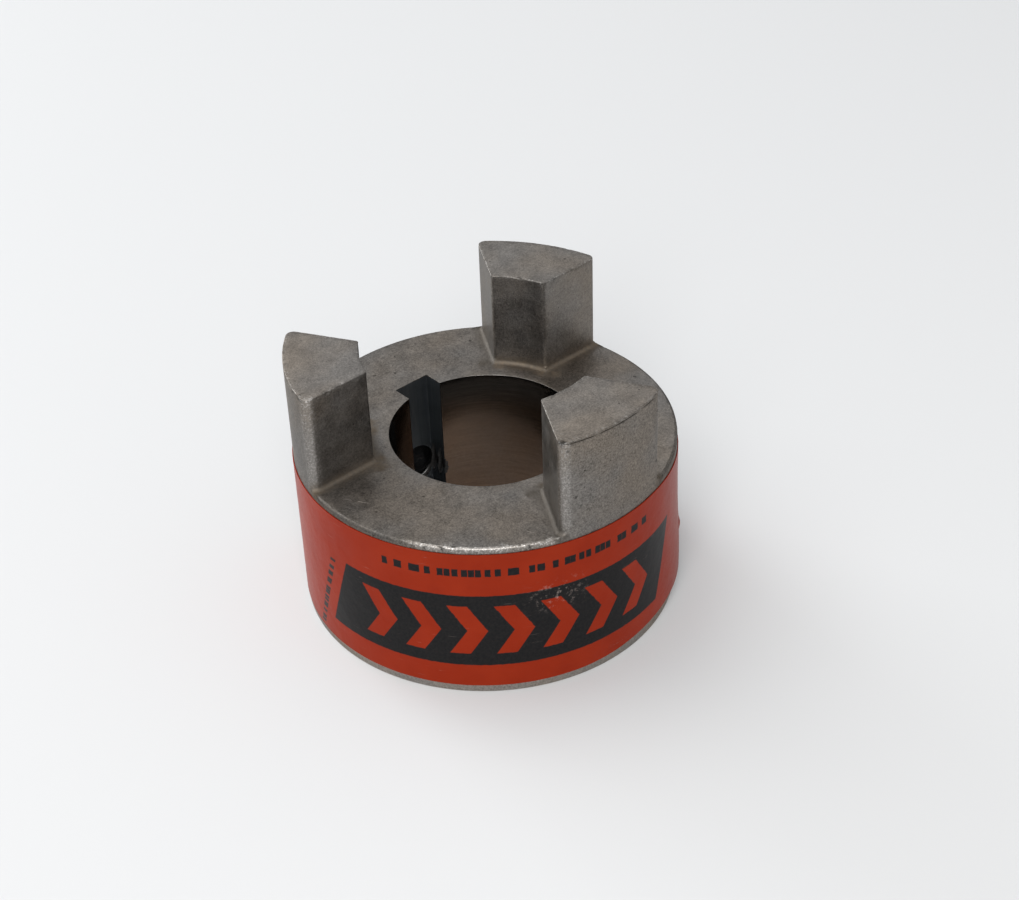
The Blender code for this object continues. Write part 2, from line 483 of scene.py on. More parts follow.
def hole_cutter():
    """Threaded hole with a small countersink at the outside."""
    outside = HUB_RADIUS + CUT_MARGIN
    cone_foot = HUB_RADIUS - HOLE_RIM
    rod = threaded_rod("hole_cut", BORE_RADIUS - CUT_MARGIN, outside, THREAD_GAP)
    for vertex in rod.data.vertices:
        across = Vector((vertex.co.x, vertex.co.z - SCREW_HEIGHT))
        least = vertex.co.y - cone_foot
        if 1e-9 < across.length < least:
            across *= least / across.length
            vertex.co.x, vertex.co.z = across.x, SCREW_HEIGHT + across.y
    return rod


def set_by_place(obj):
    """Gives the bore, the keyway and the screw's hole their own material slots."""
    for face in obj.data.polygons:
        x, y, z = face.center
        radius = math.hypot(x, y)
        on_side = abs(abs(x) - KEYWAY_HALF) < ON_KEYWAY and 0 < y < KEYWAY_FLOOR + ON_KEYWAY
        on_floor = abs(y - KEYWAY_FLOOR) < ON_KEYWAY and abs(x) < KEYWAY_HALF + ON_KEYWAY
        in_keyway = (on_side or on_floor) and z < BODY_LENGTH - NEARLY
        in_hole = y > 0 and radius < HUB_RADIUS - 3e-6 and (
            math.hypot(x, z - SCREW_HEIGHT) < HOLE_RIM + 2e-5)
        if radius < BORE_RADIUS + ON_BORE or in_keyway:
            face.material_index = REAMED
        elif in_hole:
            face.material_index = THREAD


def split_many_sided(shape):
    bmesh.ops.triangulate(shape, faces=[face for face in shape.faces if len(face.verts) > 4])


def split_long_edges(obj):
    """Makes the mesh fine enough to be roughened: finer on the broken edges than elsewhere."""
    shape = bmesh.new()
    shape.from_mesh(obj.data)
    bmesh.ops.remove_doubles(shape, verts=shape.verts, dist=MERGE)
    bmesh.ops.dissolve_degenerate(shape, edges=shape.edges, dist=MERGE)
    split_many_sided(shape)
    for _ in range(SPLIT_ROUNDS):
        edges = []
        for edge in shape.edges:
            fine = any(face.material_index == BROKEN for face in edge.link_faces)
            if edge.calc_length() > (FINE_STEP if fine else COARSE_STEP):
                edges.append(edge)
        if not edges:
            break
        bmesh.ops.subdivide_edges(shape, edges=edges, cuts=1)
        split_many_sided(shape)
    shape.to_mesh(obj.data)
    shape.free()


def nearness_to_root(spot):
    """1 at the foot of a jaw, falling to 0 at ROOT_REACH from it: the mask for the painted shade and
    painted brown bounce light there.
    """
    above = 1 - abs(spot.z - BODY_LENGTH) / ROOT_REACH
    if above <= 0 or spot.xy.length < JAW_INNER_RADIUS - ROOT_REACH:
        return 0.0
    near = 0.0
    for jaw_angle in JAW_ANGLES:
        here = Matrix.Rotation(math.radians(-jaw_angle), 2) @ spot.xy
        if abs(heading(here.x, here.y)) > ROOT_HALF_ANGLE:
            continue
        front = abs(here.length - JAW_INNER_RADIUS)
        for turn in (-1, 1):
            leg = Matrix.Rotation(math.radians(-turn * LEG_FROM_JAW), 2) @ here
            front = min(front, abs(leg.y * turn + LEG_HALF))
        near = max(near, 1 - front / ROOT_REACH)
    return max(0.0, near) * above


def root_bounce_at(spot):
    """How much painted brown bounce light the foot of the nearest jaw gets."""
    angle = heading(spot.x, spot.y)
    nearest = min(ROOT_BOUNCE_SHARES, key=lambda jaw_angle: abs(turn_between(angle, jaw_angle)))
    from_jaw = turn_between(angle, nearest)
    for jaw_angle, turn in DARK_ROOTS:
        if jaw_angle == nearest and from_jaw * turn > 0:
            share = fade(INNER_HALF_ANGLE - 1, INNER_HALF_ANGLE + 1, abs(from_jaw))
            return ROOT_BOUNCE_SHARES[nearest] + (DARK_ROOT_BOUNCE - ROOT_BOUNCE_SHARES[nearest]) * share
    return ROOT_BOUNCE_SHARES[nearest]


def nearness_to_corner(spot):
    """1 on a listed jaw's rounded outer corner, where a highlight is painted, falling to 0 off it."""
    if spot.z < BODY_LENGTH or spot.xy.length < CORNER_DISTANCE - CORNER_RADIUS:
        return 0.0
    near = 0.0
    for jaw_angle, turn in HIGHLIT_JAW_CORNERS:
        center = polar(CORNER_DISTANCE, jaw_angle + turn * CORNER_HALF_ANGLE)
        off = abs((spot.xy - center).length - CORNER_RADIUS)
        near = max(near, 1 - off / CORNER_HIGHLIGHT_WIDTH)
    return near


def edge_wear_and_highlight(spot):
    """How worn a broken edge is at that place. On the rim it is mostly a painted highlight, brightest
    near RIM_HIGHLIGHT_MIDDLE.
    """
    if spot.z > TOP - EDGE_BAND:
        return TOP_WEAR
    if spot.xy.length > HUB_RADIUS - EDGE_BAND:
        if spot.z < BODY_LENGTH / 2:
            return 0.0
        turn = abs(turn_between(heading(spot.x, spot.y), RIM_HIGHLIGHT_MIDDLE))
        return min(1.0, max(RIM_LEAST_WEAR, (RIM_HIGHLIGHT_HALF - turn) / RIM_HIGHLIGHT_FADE))
    return SIDE_WEAR if spot.z > BODY_LENGTH else 0.0


def dullness(spot, wear):
    """How dull a broken edge is: most on the rim away from its painted highlight, some round the jaws'
    tops. Dull edges are rougher and painted darker, as painted shade.
    """
    if spot.z > TOP - EDGE_BAND:
        return TOP_DULLNESS
    if math.hypot(spot.x, spot.y) > HUB_RADIUS - EDGE_BAND:
        if BODY_LENGTH / 2 < spot.z < BODY_LENGTH + TOUCHING:
            return 1 - min(1.0, wear)
    return 0.0


def top_corner(jaw_angle, turn, outer):
    """Top corner of a jaw: its rounded outer one or its sharp inner one."""
    side = jaw_side(jaw_angle, turn, 0)
    spot = side[-2 - CORNER_STEPS // 2] if outer else side[0]
    return Vector((spot.x, spot.y, TOP))


# Painted highlights at bright corners as (place, width), and chips as (place, depth in millimetres,
# width)
HIGHLIGHT_CORNERS = [(top_corner(30, -1, False), 0.0004), (top_corner(150, 1, True), 0.0005)]
CHIPS = [(top_corner(270, -1, True), 0.16, 0.00045),
         (top_corner(150, 1, True) + Vector((-0.0005, 0.0012, 0)), 0.1, 0.0004)]


def near_spot(spot, place, width):
    """1 at place, falling to 0 over about two widths."""
    return math.exp(-((spot - place).length / width) ** 2)


def nick_at(spot, wear):
    """Depth in millimetres of nicks, chips and the seam under a jaw's outer rim."""
    place = spot * 1000
    nick = wear * NICK_DEPTH * max(0.0, noise.noise(place * 1.7 + Vector((3, 7, 5))) - 0.3)
    if math.hypot(spot.x, spot.y) > HUB_RADIUS - NEARLY and SEAM_LOW + 1e-6 < spot.z < SEAM_HIGH - 1e-6:
        share = 0.75 + 1.5 * noise.noise(place * 0.6 + Vector((5, 1, 0)))
        nick += SEAM_DEPTH * min(1.0, max(0.0, share))
    for chip, depth, width in CHIPS:
        nick += depth * near_spot(spot, chip, width)
    return nick


def roughen(obj):
    """Moves the sintered skin in by a few hundredths of a millimetre, more on its edges and in
    the seam under the jaws' outer rims. Leaves vertex values for the shaders: edge is wear on
    corners, with painted highlights on the rim and at the listed bright corners; crevice is the
    depth of a nick, painted darker there as shade; root is nearness to a jaw's foot, where shade
    is painted, and a further value is how much painted brown bounce light that foot gets; corner
    is nearness to a listed jaw's rounded outer corner, where a highlight is painted; flank is how
    upright the surface stands, and upright faces get painted shade; dull is an edge made rougher
    and painted darker, as painted shade."""
    mesh = obj.data
    edge = [0.0] * len(mesh.vertices)
    dull = [0.0] * len(mesh.vertices)
    for face in mesh.polygons:
        if face.material_index == BROKEN:
            for i in face.vertices:
                edge[i] = edge_wear_and_highlight(mesh.vertices[i].co)
                dull[i] = dullness(mesh.vertices[i].co, edge[i])
            face.material_index = SKIN
    normals = [vertex.normal.copy() for vertex in mesh.vertices]
    crevice = [0.0] * len(mesh.vertices)
    root = [nearness_to_root(vertex.co) for vertex in mesh.vertices]
    root_bounce = [root_bounce_at(vertex.co) for vertex in mesh.vertices]
    corner = [nearness_to_corner(vertex.co) for vertex in mesh.vertices]
    flank = [1 - abs(normal.z) for normal in normals]
    for i, vertex in enumerate(mesh.vertices):
        x, y, z = vertex.co
        from_screw = math.hypot(x, z - SCREW_HEIGHT) if y > 0 else HUB_RADIUS
        if math.hypot(x, y) < BORE_RADIUS + NEARLY or from_screw < HOLE_RIM:
            continue
        calm = fade(HOLE_RIM, HOLE_RIM + 2 * COUNTERSINK, from_screw)
        place = vertex.co * 1000
        skin = WAVE_DEPTH * (0.5 + 0.5 * noise.noise(place * 0.45))
        skin += RIPPLE_DEPTH * (0.5 + 0.5 * noise.noise(place * 1.9))
        wear = WEAR_DEPTH * max(0.0, noise.noise(place * 0.9 + Vector((9, 4, 2))))
        nick = nick_at(vertex.co, edge[i])
        # Painted highlights: edge is raised at the listed bright corners.
        for spot, width in HIGHLIGHT_CORNERS:
            edge[i] += 2 * near_spot(vertex.co, spot, width)
        crevice[i] = min(1.0, nick / DARKEST_NICK)
        vertex.co -= normals[i] * calm * (skin + nick + wear * edge[i]) * 0.001
    for name, values in (("edge", edge), ("crevice", crevice), ("root", root),
                         ("root_bounce", root_bounce), ("corner", corner), ("flank", flank), ("dull", dull)):
        mesh.attributes.new(name, "FLOAT", "POINT").data.foreach_set("value", values)


def edge_share(edge):
    """How wide an edge is broken, as a share of EDGE_BREAK. Blunt edges stay as they are."""
    x, y, z = (edge.verts[0].co + edge.verts[1].co) / 2
    in_hole = y > 0 and math.hypot(x, z - SCREW_HEIGHT) < HOLE_RIM + COUNTERSINK
    in_fillet = BODY_LENGTH + TOUCHING < z < JAW_FOOT - TOUCHING
    if in_hole or in_fillet or edge.calc_face_angle(0) < math.radians(SHARP_EDGE):
        return 0
    radius = math.hypot(x, y)
    if radius < JAW_INNER_RADIUS - NEARLY and z < BODY_LENGTH + TOUCHING:
        return BORE_EDGE_SHARE
    if z > TOP - TOUCHING:
        return TOP_EDGE_SHARE
    if z < TOUCHING:
        return FOOT_EDGE_SHARE
    if radius > HUB_RADIUS - NEARLY:
        from_jaw = min(abs(turn_between(heading(x, y), jaw_angle)) for jaw_angle in JAW_ANGLES)
        return RIM_EDGE_SHARE * max(RIM_LEAST_SHARE, fade(
            CORNER_HALF_ANGLE, CORNER_HALF_ANGLE + RIM_FADE, from_jaw))
    return 1


def break_edges(hub):
    """Rounds the sharp edges. The new faces get material slot BROKEN."""
    shape = bmesh.new()
    shape.from_mesh(hub.data)
    inner_flats = [edge for edge in shape.edges if all(
        abs(face.normal.z) < 0.9 or face.calc_center_median().z > TOP - TOUCHING
        for face in edge.link_faces)]
    bmesh.ops.dissolve_limit(shape, angle_limit=math.radians(0.2), verts=[], edges=inner_flats)
    weight = shape.edges.layers.float.new("bevel_weight_edge")
    for edge in shape.edges:
        edge[weight] = edge_share(edge)
    shape.to_mesh(hub.data)
    shape.free()
    for _ in (SKIN, REAMED, THREAD, BROKEN):
        hub.data.materials.append(None)
    bevel = hub.modifiers.new("edges", "BEVEL")
    bevel.width = EDGE_BREAK
    bevel.segments = EDGE_STEPS
    bevel.limit_method = "WEIGHT"
    bevel.use_clamp_overlap = False
    bevel.material = BROKEN
    applied(hub)
    for vertex in hub.data.vertices:
        vertex.co.xy *= min(1, HUB_RADIUS / vertex.co.xy.length)


def main_hub():
    hub = blank()
    cut(hub, jaw_clearance())
    cut(hub, keyway_cutter())
    merged(hub, CUT_MERGE)
    cut(hub, hole_cutter())
    break_edges(hub)
    split_long_edges(hub)
    set_by_place(hub)
    roughen(hub)
    hub.data.shade_smooth()
    hub.data.set_sharp_from_angle(angle=math.radians(50))
    weighted = hub.modifiers.new("even", "WEIGHTED_NORMAL")
    weighted.keep_sharp = True
    applied(hub)
    hub.name = "hub_iron"
    return hub


# ------------------------------------------------------------------ set screw

def chamfer_radius(y):
    """Largest radius of the screw at y: its two ends are chamfered."""
    into = max(0, SCREW_TIP + SCREW_CHAMFER - y, y - SCREW_END + SCREW_CHAMFER)
    return THREAD_MAJOR - THREAD_GAP - into * CHAMFER_SLOPE


def main_screw():
    """Set screw with a hexagon socket and a cup point."""
    screw = threaded_rod("socket_set_screw", SCREW_TIP, SCREW_END, -THREAD_GAP, chamfer_radius)
    hexagon = [polar(SOCKET_FLAT / math.cos(math.radians(30)), 60 * i) for i in range(6)]
    levels = ((SCREW_END - SOCKET_DEPTH - 0.0006, 0.15), (SCREW_END - SOCKET_DEPTH, 1),
              (SCREW_END - 0.00018, 1), (SCREW_END + 0.00012, 1.2), (SCREW_END + CUT_MARGIN, 1.2))
    cut(screw, to_object("socket_cut", grid_solid(
        [[(grow * p.x, y, SCREW_HEIGHT + grow * p.y) for p in hexagon] for y, grow in levels])))
    circle = [polar(CUP_RADIUS, 360 * i / 32) for i in range(32)]
    levels = ((SCREW_TIP + CUP_DEPTH, 0.05), (SCREW_TIP, 1), (SCREW_TIP - CUT_MARGIN, 1))
    cut(screw, to_object("cup_cut", grid_solid(
        [[(grow * p.x, y, SCREW_HEIGHT + grow * p.y) for p in circle] for y, grow in levels])))
    bevel = screw.modifiers.new("edges", "BEVEL")
    bevel.width = SCREW_EDGE_BREAK
    bevel.segments = 1
    bevel.limit_method = "ANGLE"
    bevel.angle_limit = math.radians(50)
    bevel.use_clamp_overlap = True
    applied(screw)
    screw.data.shade_smooth()
    screw.data.set_sharp_from_angle(angle=math.radians(35))
    return screw


# ---------------------------------------------------------------------- label

def film_lift(along, height):
    """How far the film stands off the body at a place: wrinkles, one bulge and one bump."""
    spot = Vector((along * 1000, height * 1000, 0))
    lift = WRINKLE_RISE * max(0, noise.noise(spot * 0.25)) + RIPPLE_RISE * noise.noise(spot * 0.9)
    for place, rise, width in (LABEL_BUMP, LABEL_BULGE):
        away = Vector(((along - place[0]) / width[0], (height - place[1]) / width[1])).length
        lift += rise * math.exp(-away * away)
    return max(0.0, lift)


def film_levels(low, high):
    """Heights of the film's rows, close together at its rounded corners."""
    into = [LABEL_CORNER * (1 - math.cos(math.radians(LABEL_CORNER_STEP * i)))
            for i in range(LABEL_CORNER_ROWS)]
    middle = spread(Vector((low + LABEL_CORNER, 0)), Vector((high - LABEL_CORNER, 0)), LABEL_ROWS)
    return [low + z for z in into] + [point.x for point in middle] + [high - z for z in reversed(into)]


def film_row(z, low, high):
    """Places across the film, as (distance along, height), for the row at z of a plain strip.

    The film's foot rises and its head dips towards its right end.
    """
    half = math.radians(LABEL_HALF_ANGLE) * HUB_RADIUS
    into = max(0.0, low + LABEL_CORNER - z, z - high + LABEL_CORNER)
    reach = half - LABEL_CORNER + math.sqrt(max(0, LABEL_CORNER ** 2 - into ** 2))
    row = []
    for i in range(LABEL_COLUMNS + 1):
        along = reach * (2 * i / LABEL_COLUMNS - 1)
        foot = low + FOOT_ABOVE + FOOT_RISE[0] * fade(*FOOT_RISE[1:], along)
        head = high - HEAD_BELOW - HEAD_DIP[0] * fade(*HEAD_DIP[1:], along)
        row.append((along, foot + (z - low) * (head - foot) / (high - low)))
    return row


def main_label():
    """Thin printed film round the body, with rounded corners and slightly lifted spots."""
    low, high = LABEL_LOW.z, LABEL_HIGH.z
    rows = [film_row(z, low, high) for z in film_levels(low, high)]
    shape = bmesh.new()
    print_map = shape.loops.layers.uv.new("print")
    flat = {}
    sheets = []
    for lift in (LABEL_GAP + LABEL_THICKNESS, LABEL_GAP):
        sheet = []
        for row in rows:
            line = []
            for along, height in row:
                radius = HUB_RADIUS + lift + film_lift(along, height)
                angle = LABEL_MIDDLE + math.degrees(along / HUB_RADIUS)
                vertex = shape.verts.new((*polar(radius, angle), height))
                flat[vertex] = (along * 1000, height * 1000)
                line.append(vertex)
            sheet.append(line)
        sheets.append(sheet)
        for low_line, high_line in zip(sheet, sheet[1:]):
            for i in range(LABEL_COLUMNS):
                shape.faces.new((low_line[i], low_line[i + 1], high_line[i + 1], high_line[i]))
    outer, inner = sheets
    last = len(rows) - 1
    rim = [(0, i) for i in range(LABEL_COLUMNS)] + [(j, LABEL_COLUMNS) for j in range(last)]
    rim += [(last, i) for i in range(LABEL_COLUMNS, 0, -1)] + [(j, 0) for j in range(last, 0, -1)]
    for (j, i), (after_j, after_i) in zip(rim, rim[1:] + rim[:1]):
        shape.faces.new([outer[j][i], outer[after_j][after_i],
                         inner[after_j][after_i], inner[j][i]])
    for face in shape.faces:
        for loop in face.loops:
            loop[print_map].uv = flat[loop.vert]
    label = to_object("printed_label", shape)
    label.data.shade_smooth()
    label.data.set_sharp_from_angle(angle=math.radians(40))
    return label


# ------------------------------------------------------------------ materials

class Shader:
    """Short way to write a node material: add nodes, join sockets."""

    def __init__(self, name):
        self.material = bpy.data.materials.new(name)
        self.material.use_nodes = True
        self.tree = self.material.node_tree
        self.surface = self.tree.nodes["Principled BSDF"]

    def put(self, socket, value):
        if isinstance(value, bpy.types.NodeSocket):
            self.tree.links.new(value, socket)
        else:
            socket.default_value = value

    def node(self, kind, settings=None, **inputs):
        node = self.tree.nodes.new(kind)
        for key, value in (settings or {}).items():
            setattr(node, key, value)
        for key, value in inputs.items():
            self.put(node.inputs[key.replace("_", " ")], value)
        return node

    def math(self, operation, *values, clamp=False):
        node = self.node("ShaderNodeMath", {"operation": operation, "use_clamp": clamp})
        for socket, value in zip(node.inputs, values):
            self.put(socket, value)
        return node.outputs[0]

    def ramp(self, value, start, end, low=0.0, high=1.0):
        node = self.node("ShaderNodeMapRange", {"clamp": True}, Value=value, From_Min=start,
                         From_Max=end, To_Min=low, To_Max=high)
        return node.outputs[0]

    def noise(self, place, scale, detail=2.0, rough=0.5):
        node = self.node("ShaderNodeTexNoise", None, Vector=place, Scale=scale, Detail=detail,
                         Roughness=rough)
        return node.outputs["Fac"]

    def mix(self, share, first, second, blend="MIX"):
        node = self.node("ShaderNodeMix", {"data_type": "RGBA", "blend_type": blend})
        self.put(node.inputs[0], share)
        self.put(node.inputs[6], first)
        self.put(node.inputs[7], second)
        return node.outputs[2]

    def bump(self, height, depth):
        return self.node("ShaderNodeBump", None, Height=height, Distance=depth).outputs[0]

    def attribute(self, name):
        return self.node("ShaderNodeAttribute", {"attribute_name": name}).outputs["Fac"]

    def place(self):
        """Object coordinates in millimetres."""
        point = self.node("ShaderNodeTexCoord").outputs["Object"]
        node = self.node("ShaderNodeVectorMath", {"operation": "SCALE"}, Vector=point, Scale=1000.0)
        return node.outputs[0]

    def from_axis(self, x, y):
        """Distance from the bore axis."""
        flat = self.node("ShaderNodeCombineXYZ", None, X=x, Y=y)
        node = self.node("ShaderNodeVectorMath", {"operation": "LENGTH"}, Vector=flat.outputs[0])
        return node.outputs["Value"]

    def finish(self, **inputs):
        for key, value in inputs.items():
            self.put(self.surface.inputs[key.replace("_", " ")], value)
        return self.material


def iron():
    """Sintered iron: grain, small pits, brighter on worn edges. Painted shade on upright faces, in pits
    and nicks, on dull edges and at the jaws' feet, with painted brown bounce light at the feet; a
    painted floor reflection low on the outer wall; painted highlights on the rim and on some jaw
    corners.
    """
    shader = Shader("sintered_iron")
    place = shader.place()
    edge, root = shader.attribute("edge"), shader.attribute("root")
    crevice = shader.attribute("crevice")
    x, y, z = shader.node("ShaderNodeSeparateXYZ", None, Vector=place).outputs
    seat_height = BODY_LENGTH * 1000
    outside = HUB_RADIUS * 1000
    outer = shader.ramp(shader.from_axis(x, y), outside - 0.325, outside - 0.175)
    # seat masks the seat face, made darker below, only a tenth as much where x - y grows from 14 to 26
    # mm.
    seat = shader.math("MULTIPLY", shader.ramp(z, seat_height + 0.02, seat_height + 0.15, 1, 0),
                       shader.math("SUBTRACT", 1.0, outer))
    right = shader.math("SUBTRACT", x, y)
    seat = shader.math("MULTIPLY", seat, shader.ramp(right, 14, 26, 1.0, 0.1))
    # foot is a lighter band low on the outer wall: a painted reflection of the bright floor.
    foot = shader.math("MULTIPLY", shader.ramp(z, 1.6, 3.4, 1, 0), outer)

    grain = shader.noise(place, 6.0, 2.0, 0.65)
    speckle = shader.noise(place, 2.4, 2.0, 0.6)
    mottle = shader.noise(place, 0.45, 3.0, 0.55)
    cloud = shader.noise(place, 0.12, 2.0)
    tint = shader.mix(shader.ramp(cloud, 0.35, 0.65), IRON_GREY, IRON_WARM)
    value = shader.math("ADD", shader.ramp(grain, 0.25, 0.75, 0.68, 1.32),
                        shader.ramp(speckle, 0.25, 0.75, -0.14, 0.14))
    value = shader.math("ADD", value, shader.ramp(mottle, 0.3, 0.7, -0.1, 0.1))
    coarse = shader.ramp(shader.noise(place, 4.6, 1.0), 0.3, 0.7, -0.24, 0.24)
    value = shader.math("ADD", value, shader.math("MULTIPLY", coarse, outer))
    value = shader.math("SUBTRACT", value, shader.math("MULTIPLY", seat, 0.2))
    value = shader.math("ADD", value, shader.math("MULTIPLY", foot, 0.5))
    # Upright faces painted darker: painted shade.
    value = shader.math("MULTIPLY", value, shader.ramp(shader.attribute("flank"), 0.2, 0.9, 1.0, 0.73))
    # Dull edges painted darker: painted shade that keeps them from shining. They are also rougher.
    dull = shader.attribute("dull")
    value = shader.math("MULTIPLY", value, shader.ramp(dull, 0, 1, 1.0, 0.5))

    pits = shader.node("ShaderNodeTexVoronoi", None, Vector=place, Scale=0.9)
    chosen = shader.node("ShaderNodeSeparateColor", None, Color=pits.outputs["Color"])
    some = shader.ramp(chosen.outputs[0], shader.ramp(outer, 0, 1, 0.9, 0.72),
                       shader.ramp(outer, 0, 1, 0.91, 0.73))
    width = shader.ramp(chosen.outputs[1], 0, 1, 0.08, 0.2)
    ragged = shader.math("ADD", pits.outputs["Distance"], shader.ramp(speckle, 0.2, 0.8, -0.06, 0.06))
    pit = shader.math("MULTIPLY", shader.math("LESS_THAN", ragged, width), some)
    # Pits and nicks painted darker: painted shade in their hollows.
    dark = shader.math("MAXIMUM", shader.math("MULTIPLY", pit, 0.5),
                       shader.math("MULTIPLY", crevice, 0.88))
    value = shader.math("MULTIPLY", value, shader.math("SUBTRACT", 1.0, dark))
    color = shader.mix(1.0, tint, value, "MULTIPLY")

    # Brighter broken edges: worn is wear on the jaw tops and sides, and painted highlights on the rim
    # and at the listed bright corners.
    spark = shader.ramp(shader.noise(place, 4.5, 1.0), 0.5, 0.66)
    worn = shader.math("MULTIPLY", edge, shader.ramp(shader.noise(place, 1.1, 3.0, 0.7), 0.36, 0.6))
    worn = shader.math("MULTIPLY", worn, shader.math("SUBTRACT", 1.0, crevice, clamp=True))
    # Painted highlight on two jaws' rounded outer corners, broken up by noise.
    corner_highlight = shader.math("MULTIPLY", shader.attribute("corner"), shader.ramp(spark, 0, 1, 0.15, 0.6))
    color = shader.mix(corner_highlight, color, IRON_CORNER_HIGHLIGHT)
    color = shader.mix(shader.math("MULTIPLY", worn, 0.45), color, IRON_RUBBED_AND_SHEEN)
    color = shader.mix(shader.math("MULTIPLY", worn, spark), color, IRON_WORN_AND_GLINT)
    # Painted shade at the jaws' feet, then painted brown bounce light over part of it.
    color = shader.mix(shader.math("MULTIPLY", root, 0.8), color, ROOT_SHADE)
    bounce_brown = shader.math("MULTIPLY", root, shader.ramp(speckle, 0.25, 0.65, 0.3, 1.0))
    bounce_brown = shader.math("MULTIPLY", bounce_brown, shader.attribute("root_bounce"))
    color = shader.mix(bounce_brown, color, ROOT_BOUNCE_BROWN)

    rough = shader.math("ADD", shader.ramp(mottle, 0.3, 0.7, 0.4, 0.5),
                        shader.ramp(grain, 0.3, 0.7, -0.05, 0.05))
    rough = shader.math("ADD", rough, shader.math("MULTIPLY", root, 0.3))
    rough = shader.math("ADD", rough, shader.math("MULTIPLY", dull, 0.2))
    height = shader.math("ADD", grain, shader.math("MULTIPLY", speckle, 1.4))
    height = shader.math("SUBTRACT", height, shader.math("MULTIPLY", pit, 1.5))
    normal = shader.bump(height, 0.000016)
    return shader.finish(Base_Color=color, Roughness=rough, Normal=normal, Metallic=1.0,
                         Specular_Tint=EDGE_TINT)


def machined_iron():
    """Reamed bore and broached keyway: fine marks round the bore, and a brown painted reflection low on
    one side of the bore wall.
    """
    shader = Shader("reamed_iron")
    place = shader.place()
    x, y, z = shader.node("ShaderNodeSeparateXYZ", None, Vector=place).outputs
    broached = shader.math("GREATER_THAN", shader.from_axis(x, y), BORE_RADIUS * 1000 + 0.06)
    fine = shader.node("ShaderNodeCombineXYZ", None, X=shader.math("MULTIPLY", x, 0.05),
                       Y=shader.math("MULTIPLY", y, 0.05), Z=z)
    feed = shader.noise(fine.outputs[0], 5.0, 3.0, 0.7)
    upright = shader.node("ShaderNodeCombineXYZ", None, X=x, Y=y, Z=shader.math("MULTIPLY", z, 0.04))
    drag = shader.noise(upright.outputs[0], 4.0, 3.0, 0.7)
    cloud = shader.noise(place, 0.18, 3.0, 0.6)
    grain = shader.noise(place, 3.0, 2.0)
    # Painted reflection: brown on the lower part of the bore wall around 50 degrees round the bore.
    facing = shader.math("ADD", shader.math("MULTIPLY", x, math.cos(REFLECTION_SIDE)),
                         shader.math("MULTIPLY", y, math.sin(REFLECTION_SIDE)))
    painted_reflection = shader.math("MULTIPLY", shader.ramp(facing, 4, 9), shader.ramp(z, 16, 19, 1.0, 0.0))
    painted_reflection = shader.math("MULTIPLY", painted_reflection, shader.ramp(cloud, 0.35, 0.65, 0.8, 1.0))
    reamed = shader.mix(painted_reflection, BORE_GREY, BORE_PAINTED_REFLECTION)
    keyway = shader.mix(shader.ramp(drag, 0.35, 0.65), KEYWAY_DARK, KEYWAY_LIGHT)
    value = shader.math("ADD", shader.ramp(feed, 0.3, 0.7, 0.88, 1.12),
                        shader.ramp(grain, 0.3, 0.7, -0.06, 0.06))
    color = shader.mix(broached, shader.mix(1.0, reamed, value, "MULTIPLY"), keyway)
    rough = shader.math("ADD", shader.ramp(feed, 0.3, 0.7, 0.13, 0.2),
                        shader.math("MULTIPLY", broached, 0.3))
    marks = shader.node("ShaderNodeMix", {"data_type": "FLOAT"})
    for index, mark in ((0, broached), (2, feed), (3, drag)):
        shader.put(marks.inputs[index], mark)
    normal = shader.bump(marks.outputs[0], 0.000002)
    return shader.finish(Base_Color=color, Roughness=rough, Normal=normal, Metallic=1.0,
                         Specular_Tint=EDGE_TINT)


def thread_iron():
    """Dark tapped thread."""
    shader = Shader("tapped_iron")
    place = shader.place()
    grain = shader.noise(place, 3.0, 3.0, 0.6)
    color = shader.mix(shader.ramp(grain, 0.3, 0.7), THREAD_DARK, THREAD_LIGHT)
    return shader.finish(Base_Color=color, Roughness=shader.ramp(grain, 0.3, 0.7, 0.3, 0.45),
                         Normal=shader.bump(grain, 0.00001), Metallic=1.0)


def black_oxide():
    """Blackened steel, worn through in places."""
    shader = Shader("black_oxide_steel")
    place = shader.place()
    grain = shader.noise(place, 4.0, 3.0, 0.6)
    wear = shader.ramp(shader.noise(place, 0.8, 3.0, 0.7), 0.58, 0.68)
    color = shader.mix(shader.ramp(grain, 0.3, 0.7), OXIDE_DARK, OXIDE_LIGHT)
    color = shader.mix(shader.math("MULTIPLY", wear, 0.5), color, OXIDE_WORN)
    return shader.finish(Base_Color=color, Roughness=shader.ramp(grain, 0.3, 0.7, 0.3, 0.46),
                         Normal=shader.bump(grain, 0.000008), Metallic=0.85)


def inside(shader, value, low, high, soft=INK_SOFTNESS):
    """1 where value lies between low and high, with edges that are soft wide."""
    return shader.math("MULTIPLY", shader.ramp(value, low - soft, low + soft),
                       shader.ramp(value, high - soft, high + soft, 1.0, 0.0))


def dashes(shader, value, per_mm):
    """1 on uneven dashes along value, about per_mm of them in a millimetre."""
    cells = shader.node("ShaderNodeTexVoronoi", {"voronoi_dimensions": "1D"}, W=value, Scale=per_mm)
    return shader.ramp(cells.outputs["Distance"], 0.31, 0.35, 1.0, 0.0)


